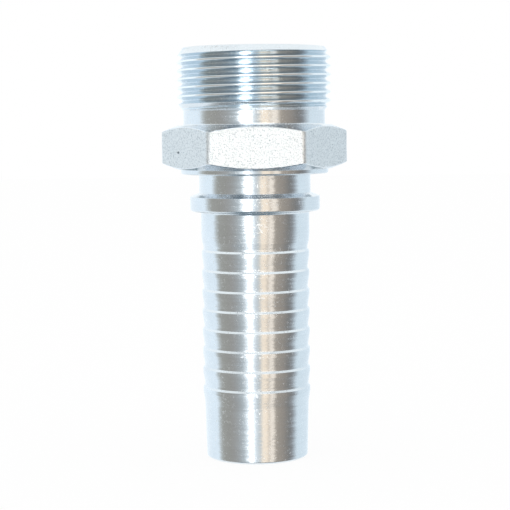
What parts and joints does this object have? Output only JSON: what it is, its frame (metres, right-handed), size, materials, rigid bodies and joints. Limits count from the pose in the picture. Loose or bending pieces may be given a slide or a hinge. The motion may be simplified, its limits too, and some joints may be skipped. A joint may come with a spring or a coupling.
{
  "type": "hydraulic hose fitting",
  "caption": "One-piece male hose insert: metric thread over a 24 degree cone seat, forged hexagon, ferrule groove with holding ring, and a ribbed tail for a crimped hose.",
  "frame": {"origin": "centre of the hose tail's end face, on which the fitting stands", "axes": "+Z along the axis towards the thread; -Y square to one flat of the hexagon"},
  "size_m": [0.0432, 0.0378, 0.0959],
  "materials": {
    "zinc_plated_steel": "bright clear zinc plating, turned smooth on the tail, ring, collar and thread, with shot-blasted forged flats on the hexagon"
  },
  "bodies": {
    "root": {"hose_fitting": "zinc_plated_steel"}
  },
  "joints": []
}
